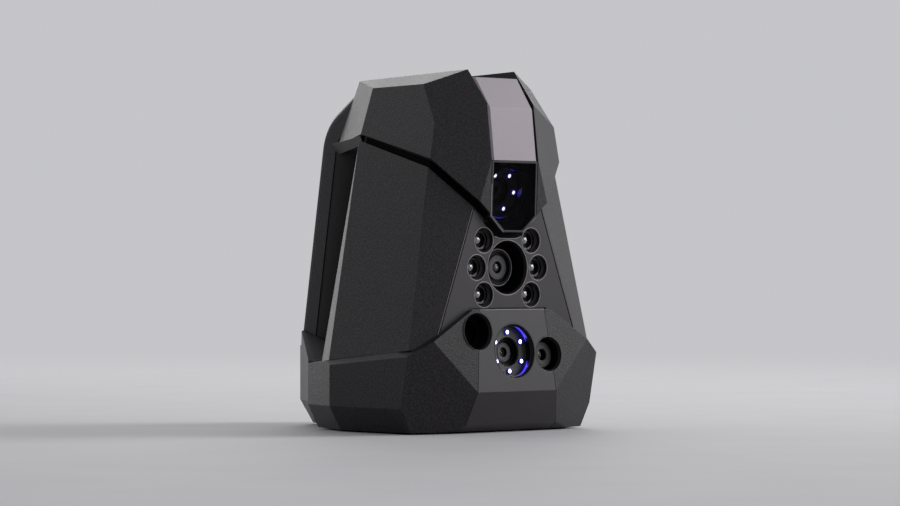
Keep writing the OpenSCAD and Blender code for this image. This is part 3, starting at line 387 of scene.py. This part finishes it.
# Polycarbonate, moulded over each unlit flash lamp and hard-coated: one sharp highlight
paint(plastic("hard_coated_pc", "#0a090b", "#121113", rough=0.08, grain=2, depth=0.0,
              edge=0.1, cloud=6, spread=0.02, shine=1.0, coat=1.0), "flash_lamps")
# Aluminium, fine-turned and anodised grey: the rings round the lenses. The dyed skin hides
# the metal's own shine, so they are satin and not metallic.
LENS_RING = plastic("grey_anodised_ring", "#454347", "#504e52", rough=0.4, grain=0.25,
                    depth=0.01, edge=0.15)
DARK_RING = plastic("dark_anodised_ring", "#1f1e20", "#282729", rough=0.4, grain=0.25,
                    depth=0.01, edge=0.15)
# PBT, the pale second shot of the grey keys: satin signs
KEY_MARK = plastic("pale_mark_pbt", "#c2bfc2", "#cac7ca", rough=0.42, grain=0.3,
                   depth=0.003, edge=0.05)


def glow_sleeve(name, axis, arcs, deep, strength):
    """Black acrylic, polished, with a painted glow: emission stands for the blue light of the
    pilot lamps on the bore's wall, as a streak that runs from the mouth inwards, in the
    directions that arcs gives as parts of a turn, and is deep mm behind the mouth at its
    middle."""
    slope, width = -0.28, 4.0
    material, tree, place = fresh(name)
    local = add(tree, "ShaderNodeMapping",
                {"Vector": place, "Location": axis.translation, "Rotation": axis.to_euler(),
                 "Scale": (MM, MM, MM)}, vector_type="TEXTURE").outputs[0]
    along = add(tree, "ShaderNodeSeparateXYZ", {0: local}).outputs
    angle = add(tree, "ShaderNodeMath", {0: along["Y"], 1: along["X"]},
                operation="ARCTAN2").outputs[0]
    part = add(tree, "ShaderNodeMapRange", {"Value": angle, "From Min": -math.pi,
                                            "From Max": math.pi}).outputs[0]
    where = add(tree, "ShaderNodeValToRGB", {"Fac": part}, stops=arcs).outputs[0]
    side = add(tree, "ShaderNodeMath", {0: along["Y"]}, operation="ABSOLUTE").outputs[0]
    line = add(tree, "ShaderNodeMath", {0: side, 1: slope, 2: along["Z"]},
               operation="MULTIPLY_ADD").outputs[0]
    apart = add(tree, "ShaderNodeMath", {0: line, 1: deep}, operation="ADD").outputs[0]
    gap = add(tree, "ShaderNodeMath", {0: apart}, operation="ABSOLUTE").outputs[0]
    reach = add(tree, "ShaderNodeMath", {0: gap, 1: width}, operation="DIVIDE").outputs[0]
    streak = add(tree, "ShaderNodeValToRGB", {"Fac": reach}, stops=[
        (0.0, "#8a7cff"), (0.05, "#4c40ff"), (0.12, "#2a20d8"), (0.26, "#110b76"),
        (0.6, "#040322"), (1.0, "#000000")]).outputs[0]
    glow = add(tree, "ShaderNodeMix", {"Factor": 1.0, "A": streak, "B": where},
               data_type="RGBA", blend_type="MULTIPLY")
    surface(tree, {"Base Color": tone("#030305"), "Roughness": 0.2,
                   "Specular IOR Level": 0.3, "Emission Color": glow.outputs["Result"],
                   "Emission Strength": strength})
    return material


# Painted glow of the blue lamps on the lower bore's wall
LOWER_GLOW = glow_sleeve("lower_painted_glow_acrylic", LOWER, [
    (0.28, "#000000"), (0.325, "#ffffff"), (0.395, "#ffffff"), (0.44, "#000000"),
    (0.56, "#000000"), (0.605, "#ffffff"), (0.675, "#ffffff"), (0.72, "#000000")],
    deep=5.35, strength=1.2)
# The window's dye takes most of the light away, so the painted glow of the sleeve behind it
# is much stronger
UPPER_GLOW = glow_sleeve("upper_painted_glow_acrylic", UPPER, [
    (0.18, "#000000"), (0.21, "#ffffff"), (0.25, "#ffffff"), (0.29, "#000000"),
    (0.47, "#000000"), (0.5, "#4a4a4a"), (0.53, "#000000"), (0.68, "#000000"),
    (0.71, "#ffffff"), (0.74, "#000000")], deep=3.9, strength=14.0)

# Details. Lengths are in mm, and depths are behind the mouth of the hole.
MERGE = 0.002 * MM
SMOOTH = math.radians(40)


def dress(piece, material, body="housing"):
    """Gives a new piece its finish and the body it rides on."""
    piece.data.materials.clear()
    piece.data.materials.append(material)
    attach(piece, body)


def settle(piece, place):
    """Puts a piece's place into its mesh, with its object at the origin."""
    bpy.ops.object.select_all(action="DESELECT")
    piece.select_set(True)
    bpy.context.view_layer.objects.active = piece
    piece.matrix_world = place @ piece.matrix_world
    bpy.ops.object.transform_apply(location=True, rotation=True, scale=True)
    piece.select_set(False)
    return piece


def face_out():
    """Turns the faces of the piece in edit mode outwards, and leaves edit mode."""
    bpy.ops.mesh.select_all(action="SELECT")
    bpy.ops.mesh.normals_make_consistent(inside=False)
    bpy.ops.object.mode_set(mode="OBJECT")


def keep(piece, wanted):
    """Deletes the vertices of a new piece that aren't wanted, and goes into edit mode."""
    bpy.ops.object.mode_set(mode="EDIT")
    bpy.ops.mesh.select_all(action="DESELECT")
    bpy.ops.object.mode_set(mode="OBJECT")
    for vertex in piece.data.vertices:
        vertex.select = not wanted(vertex.co)
    bpy.ops.object.mode_set(mode="EDIT")
    bpy.ops.mesh.delete(type="VERT")
    bpy.ops.mesh.select_all(action="SELECT")


def turned(name, place, profile, sides=96):
    """A turned piece: a circle is extruded, scaled and moved along a closed profile of
    (radius, height), round the Z of its place."""
    bpy.ops.object.select_all(action="DESELECT")
    radius, height = profile[0]
    bpy.ops.mesh.primitive_circle_add(vertices=sides, radius=radius * MM)
    piece = bpy.context.object
    piece.name = name
    bpy.ops.object.mode_set(mode="EDIT")
    bpy.ops.mesh.select_all(action="SELECT")
    bpy.ops.transform.translate(value=(0, 0, height * MM))
    for new_radius, new_height in profile[1:] + profile[:1]:
        bpy.ops.mesh.extrude_edges_move()
        grow = new_radius / radius
        bpy.ops.transform.resize(value=(grow, grow, 1), center_override=(0, 0, 0))
        bpy.ops.transform.translate(value=(0, 0, (new_height - height) * MM))
        radius, height = new_radius, new_height
    bpy.ops.mesh.select_all(action="SELECT")
    bpy.ops.mesh.remove_doubles(threshold=MERGE)
    face_out()
    bpy.ops.object.shade_smooth_by_angle(angle=SMOOTH)
    return settle(piece, place)


def lip(name, place, radius, depth, thick, material):
    """A rounded lip on the edge of a hole or a tube."""
    arc = [(radius + thick * math.cos(math.radians(angle)),
            thick * math.sin(math.radians(angle)) - depth) for angle in range(0, 181, 20)]
    ring = arc + [(radius - thick, -depth - thick), (radius + thick, -depth - thick)]
    dress(turned(name, place, ring), material)


def lens_ring(name, place, outer, inner, depth, material):
    """The ring in front of a lens: chamfered inside and out, with a turned groove."""
    groove = inner + 0.72 * (outer - inner)
    front, floor = -depth + 0.25, -depth - 0.05
    profile = [(outer, floor), (outer, -depth + 0.1), (outer - 0.15, front),
               (groove + 0.12, front), (groove + 0.06, -depth + 0.08),
               (groove - 0.06, -depth + 0.08), (groove - 0.12, front),
               (inner + 0.3, front), (inner, floor)]
    dress(turned(name, place, profile), material)


RIM_DEPTH, RIM_THICK = 0.12, 0.22
# The pale lacquer on the flash rims is painted highlight: the light their rounded lips catch.
for i, place in enumerate(FLASHES):
    lip(f"flash_rim_{i + 1}", place, 6.72, RIM_DEPTH, RIM_THICK, LACQUER)
    lip(f"flash_bowl_lip_{i + 1}", place, 4.8, 2.5, 0.12, SATIN)
# The pale lacquer on the middle rim is painted highlight; the other rims are in the panel's
# satin.
for name, place, radius, finish in (
        ("middle", MIDDLE, 14.32, LACQUER), ("lower", LOWER, 14.22, SATIN),
        ("projector", PROJECTOR, 9.82, SATIN), ("colour", COLOUR, 9.22, SATIN)):
    lip(f"{name}_rim", place, radius, RIM_DEPTH, RIM_THICK, finish)
# The pale lacquer on the middle tube's lip is painted highlight.
lip("middle_tube_lip", MIDDLE, 9.6, 7.3, 0.2, LACQUER)
lip("middle_step_lip", MIDDLE, 8.0, 8.95, 0.12, SATIN)
lens_ring("middle_lens_ring", MIDDLE, 6.35, 3.05, 8.2, LENS_RING)
lens_ring("lower_lens_ring", LOWER, 5.05, 2.45, 9.0, LENS_RING)
lens_ring("upper_lens_ring", UPPER, 5.05, 2.45, 9.0, LENS_RING)
lens_ring("colour_lens_ring", COLOUR, 6.6, 2.95, 5.4, DARK_RING)
for name, place in (("lower", LOWER), ("upper", UPPER)):
    lip(f"{name}_plate_lip", place, 13.0, 5.4, 0.15, SATIN)
    lip(f"{name}_bore_lip", place, 7.7, 5.45, 0.12, SATIN)
    for radius, depth in ((7.1, 8.4), (6.1, 9.5)):
        lip(f"{name}_step_{radius:.0f}", place, radius, depth, 0.1, SATIN)
# The front element's dome, with the painted highlight in its middle
dress(turned("middle_front_element", MIDDLE,
             [(2.0, -9.7), (2.0, -8.9), (1.7, -8.7), (1.2, -8.55), (0.6, -8.46),
              (0.05, -8.43), (0.05, -9.7)]), FRONT_ELEMENT)

# The collars of the small lamps, in a ring of six round two cameras
LAMP_COUNT, LAMP_CIRCLE = 6, 10.2
COLLAR_PROFILE = [(1.7, -5.6), (1.7, -4.9), (1.45, -4.7), (1.02, -4.7), (1.02, -4.9)]
for name, place, start in (("lower", LOWER, 30), ("upper", UPPER, 0)):
    for i in range(LAMP_COUNT):
        lamp = place @ turn(start + i * 360 / LAMP_COUNT) @ shift(LAMP_CIRCLE, 0, 0)
        dress(turned(f"{name}_lamp_collar_{i + 1}", lamp, COLLAR_PROFILE, 24),
              COLLAR)
# Sleeves in the lower and upper bores that carry the painted blue glow
SLEEVE = [(13.27, -5.4), (13.27, -1.75), (13.15, -1.65), (12.95, -1.75), (12.95, -5.4)]
dress(turned("lower_glow_sleeve", LOWER, SLEEVE), LOWER_GLOW)
dress(turned("upper_glow_sleeve", UPPER, SLEEVE), UPPER_GLOW)


def highlight_bead(name, points, radius):
    """A painted highlight on the edge of a moulding: a thin strip of pale lacquer along a row
    of points.
    """
    bpy.ops.object.select_all(action="DESELECT")
    points = [Vector(point) * MM for point in points]
    way = (points[1] - points[0]).to_track_quat("Z", "Y")
    bpy.ops.mesh.primitive_circle_add(vertices=10, radius=radius * MM, fill_type="NGON",
                                      location=points[0], rotation=way.to_euler())
    piece = bpy.context.object
    piece.name = name
    bpy.ops.object.mode_set(mode="EDIT")
    bpy.ops.mesh.select_all(action="SELECT")
    for start, end in zip(points, points[1:]):
        bpy.ops.mesh.extrude_region_move(TRANSFORM_OT_translate={"value": end - start})
    bpy.ops.mesh.select_all(action="SELECT")
    bpy.ops.mesh.remove_doubles(threshold=MERGE)
    face_out()
    bpy.ops.object.shade_smooth_by_angle(angle=math.radians(50))
    dress(settle(piece, Matrix()), LACQUER)


# Painted highlights along the window's edge, the nose's top edge, the panel's sides and the
# panel's notch
highlight_bead("window_edge_highlight", [(-16.14, -76.2, 128.9), (-16.22, -75.49, 112.03),
                     (-7.03, -75.15, 103.92), (7.03, -75.15, 103.92),
                     (16.22, -75.49, 112.03)], 0.2)
highlight_bead("nose_edge", [(-23, -74.4, 63.72), (23, -74.4, 63.72)], 0.15)
for side, name in ((-1, "left"), (1, "right")):
    highlight_bead(f"panel_edge_highlight_{name}",
         [(side * 24.84, -71.0, 115.9), (side * 49.55, -71.0, 50.0)], 0.17)
highlight_bead("notch_edge_highlight", [(-9.4, -PANEL_Y, 101.8), (-5.75, -PANEL_Y, 100.71),
                    (5.75, -PANEL_Y, 100.71), (9.4, -PANEL_Y, 101.8)], 0.2)


def shade_sheet(name, rows, thick, place):
    """A thin black sheet in the band's finish, put in a gap where its black is painted shade.
    Its outline is given as rows of (left, right, height), in the X and Y of its place, and it
    is thick along its Z."""
    bpy.ops.object.select_all(action="DESELECT")
    left, right, height = rows[0]
    middle, half = (left + right) / 2, (right - left) / 2
    bpy.ops.mesh.primitive_plane_add(size=2 * half * MM)
    piece = bpy.context.object
    piece.name = name
    keep(piece, lambda corner: corner.y >= 0)
    bpy.ops.transform.translate(value=(middle * MM, (height - half) * MM, 0))
    for left, right, new_height in rows[1:]:
        new_middle, new_half = (left + right) / 2, (right - left) / 2
        bpy.ops.mesh.extrude_edges_move()
        bpy.ops.transform.resize(value=(new_half / half, 1, 1),
                                 center_override=(middle * MM, 0, 0))
        bpy.ops.transform.translate(value=((new_middle - middle) * MM,
                                           (new_height - height) * MM, 0))
        middle, half, height = new_middle, new_half, new_height
    bpy.ops.mesh.select_all(action="SELECT")
    bpy.ops.mesh.extrude_region_move(TRANSFORM_OT_translate={"value": (0, 0, thick * MM)})
    face_out()
    dress(settle(piece, place), MATTE_SHADE)


# Painted shade between the panel's notch and the window, round the two upper flash holes
UPRIGHT = turn(90, "X")
shade_sheet("notch_shade_sheet", [
    (-width, width, height) for width, height in (
        (5.75, 100.75), (9.9, 101.9), (10.6, 103), (11.5, 104.3), (13, 105.6),
        (14.6, 106.45), (17.5, 109.3))], 0.3, shift(0, -70.85, 0) @ UPRIGHT)
# Painted shade on both sides of the window, so that nothing shows past the band
for x, name in ((-16.7, "left"), (16.3, "right")):
    shade_sheet(f"window_shade_sheet_{name}", [
        (-70.9, -62, 108.6), (-71.1, -62, 109.8), (-72.6, -62, 112), (-73.2, -62, 113.5),
        (-73.2, -62, 121.5)], 0.4, shift(x, 0, 0) @ turn(90) @ UPRIGHT)


def on_key(name):
    """The frame on the middle of a key's face: its Z points out of the handle."""
    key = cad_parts[name]
    inside = GRIP.inverted() @ key.matrix_world
    places = [inside @ vertex.co for vertex in key.data.vertices]
    out = max(place.y for place in places)
    face = [place.z for place in places if place.y > out - 0.05 * MM]
    return (GRIP @ Matrix.Translation((0, out, (min(face) + max(face)) / 2))
            @ turn(-90, "X"))


def key_mark(name, upright):
    """The sign on a key: the middle row of a grid, and for a plus its middle column too,
    raised off the key and rounded."""
    size, cells, half_bar, raised = 3.2 * MM, 5, 0.5 * MM, 0.16 * MM
    bpy.ops.object.select_all(action="DESELECT")
    bpy.ops.mesh.primitive_grid_add(x_subdivisions=cells, y_subdivisions=cells, size=size)
    piece = bpy.context.object
    piece.name = f"{name}_mark"
    keep(piece, lambda corner: abs(corner.y) <= half_bar
         or (upright and abs(corner.x) <= half_bar))
    bpy.ops.mesh.extrude_region_move(TRANSFORM_OT_translate={"value": (0, 0, raised)})
    face_out()
    bevel = piece.modifiers.new("rounding", "BEVEL")
    bevel.width, bevel.segments, bevel.limit_method = 0.06 * MM, 2, "ANGLE"
    bpy.ops.object.modifier_apply(modifier=bevel.name)
    bpy.ops.object.shade_smooth_by_angle(angle=SMOOTH)
    dress(settle(piece, on_key(name)), KEY_MARK, name)


key_mark("plus_button", True)
key_mark("minus_button", False)
dress(turned("scan_button_ring", on_key("scan_button"),
             [(4.9, -0.1), (4.9, 0.08), (4.75, 0.2), (4.45, 0.2), (4.3, 0.08), (4.3, -0.1)]),
      SATIN, "scan_button")
POWER_FACE = shift(-48.67, 24.26, 23.57) @ turn(-90, "X")
dress(turned("power_button_ring", POWER_FACE,
             [(2.3, -0.1), (2.3, 0.06), (2.2, 0.13), (2.0, 0.13), (1.9, 0.06), (1.9, -0.1)]),
      KEY_MARK, "power_button")

# Hexagon sockets in the heads of the bottom plate's screws: black hexagons on the heads, not
# holes, so their black is painted shade
SOCKET = [(1.5, -0.3), (1.5, 0.02), (1.42, 0.05), (0.03, 0.05), (0.03, -0.3)]
HEAD_RADIUS = 2.7 * MM
low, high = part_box("plate_screws")
for i, corner in enumerate([(x, y) for x in (low[0] + HEAD_RADIUS, high[0] - HEAD_RADIUS)
                            for y in (low[1] + HEAD_RADIUS, high[1] - HEAD_RADIUS)]):
    head = Matrix.Translation((*corner, low[2])) @ turn(180, "X")
    dress(turned(f"screw_socket_shade_{i + 1}", head, SOCKET, 6), BLACK)


def over(name, height):
    """The place at a height in metres over the middle of a node."""
    low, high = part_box(name)
    return (low[0] + high[0]) / 2, (low[1] + high[1]) / 2, height


# Steel wire, zinc-plated and woven: the dust mesh under the roof's slots, with a wire every
# 0.8 mm
MESH_SIZE, MESH_CELLS, WIRE = 26 * MM, 32, 0.22 * MM
bpy.ops.object.select_all(action="DESELECT")
bpy.ops.mesh.primitive_grid_add(x_subdivisions=MESH_CELLS, y_subdivisions=MESH_CELLS,
                                size=MESH_SIZE,
                                location=over("fan_housing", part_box("roof_strip")[0][2]))
dust_mesh = bpy.context.object
dust_mesh.name = "dust_mesh"
bpy.ops.object.mode_set(mode="EDIT")
bpy.ops.mesh.select_all(action="SELECT")
bpy.ops.transform.translate(value=(0, 0, -0.3 * MM))
bpy.ops.object.mode_set(mode="OBJECT")
wires = dust_mesh.modifiers.new("wires", "WIREFRAME")
wires.thickness = WIRE
bpy.ops.object.modifier_apply(modifier=wires.name)
dress(settle(dust_mesh, Matrix()), ZINC)

# Brass, cut: the camera screw's thread, 20 turns an inch, as a ridge on the bore's wall
PITCH, TURNS, THREAD_RADIUS, RIDGE = 1.27 * MM, 6, 3.05, 0.42 * MM
bpy.ops.object.select_all(action="DESELECT")
bpy.ops.mesh.primitive_circle_add(vertices=3, radius=RIDGE)
thread = bpy.context.object
thread.name = "tripod_thread"
settle(thread, shift(THREAD_RADIUS, 0, 0) @ turn(90, "X") @ turn(90))
thread.select_set(True)
winding = thread.modifiers.new("winding", "SCREW")
winding.screw_offset, winding.iterations = PITCH, TURNS
winding.steps = winding.render_steps = 32
bpy.ops.object.modifier_apply(modifier=winding.name)
bpy.ops.object.mode_set(mode="EDIT")
face_out()
bpy.ops.object.shade_smooth_by_angle(angle=SMOOTH)
bore_mouth = over("tripod_insert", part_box("tripod_insert")[0][2] + 0.6 * MM)
dress(settle(thread, Matrix.Translation(bore_mouth)), BRASS)

# Studio: a floor of pale matte paint that fades into a backdrop of even light
BACKDROP, BACKDROP_LEVEL = tone("#f4f4f8"), 0.62
WORLD_LEVEL = 0.3
bpy.ops.object.select_all(action="DESELECT")
bpy.ops.mesh.primitive_plane_add(size=12, location=(0, 0, 0))
floor = bpy.context.object
floor.name = "floor"
floor_paint, tree, place = fresh("pale_floor_paint")
speckle = add(tree, "ShaderNodeTexNoise", {"Vector": place, "Scale": 14.0}).outputs[0]
shade = add(tree, "ShaderNodeValToRGB", {"Fac": speckle},
            stops=[(0.3, "#c9c8cb"), (0.7, "#cdccce")]).outputs[0]
near = add(tree, "ShaderNodeBsdfPrincipled", {"Base Color": shade, "Roughness": 0.7})
far = add(tree, "ShaderNodeEmission", {"Color": BACKDROP, "Strength": BACKDROP_LEVEL})
reach = add(tree, "ShaderNodeVectorMath", {0: place}, operation="LENGTH").outputs["Value"]
fade = add(tree, "ShaderNodeMapRange", {"Value": reach, "From Min": 0.3, "From Max": 1.8},
           interpolation_type="SMOOTHSTEP").outputs[0]
mixed = add(tree, "ShaderNodeMixShader", {0: fade, 1: near.outputs[0], 2: far.outputs[0]})
add(tree, "ShaderNodeOutputMaterial", {"Surface": mixed.outputs[0]})
floor.data.materials.append(floor_paint)
floor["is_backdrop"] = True

# The world is the backdrop for the camera, and in what glass and gloss show of it. It lights
# the scanner at a lower level.
world = bpy.data.worlds.new("studio")
scene.world = world
world.use_nodes = True
tree = world.node_tree
tree.nodes.clear()
path = add(tree, "ShaderNodeLightPath")
clear = add(tree, "ShaderNodeMath", {0: path.outputs["Is Camera Ray"],
                                     1: path.outputs["Is Transmission Ray"]},
            operation="MAXIMUM").outputs[0]
seen = add(tree, "ShaderNodeMath", {0: clear, 1: path.outputs["Is Glossy Ray"]},
           operation="MAXIMUM").outputs[0]
strength = add(tree, "ShaderNodeMapRange", {"Value": seen, "To Min": WORLD_LEVEL,
                                            "To Max": BACKDROP_LEVEL}).outputs[0]
sky = add(tree, "ShaderNodeBackground", {"Color": BACKDROP, "Strength": strength})
add(tree, "ShaderNodeOutputWorld", {"Surface": sky.outputs[0]})

low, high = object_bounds()
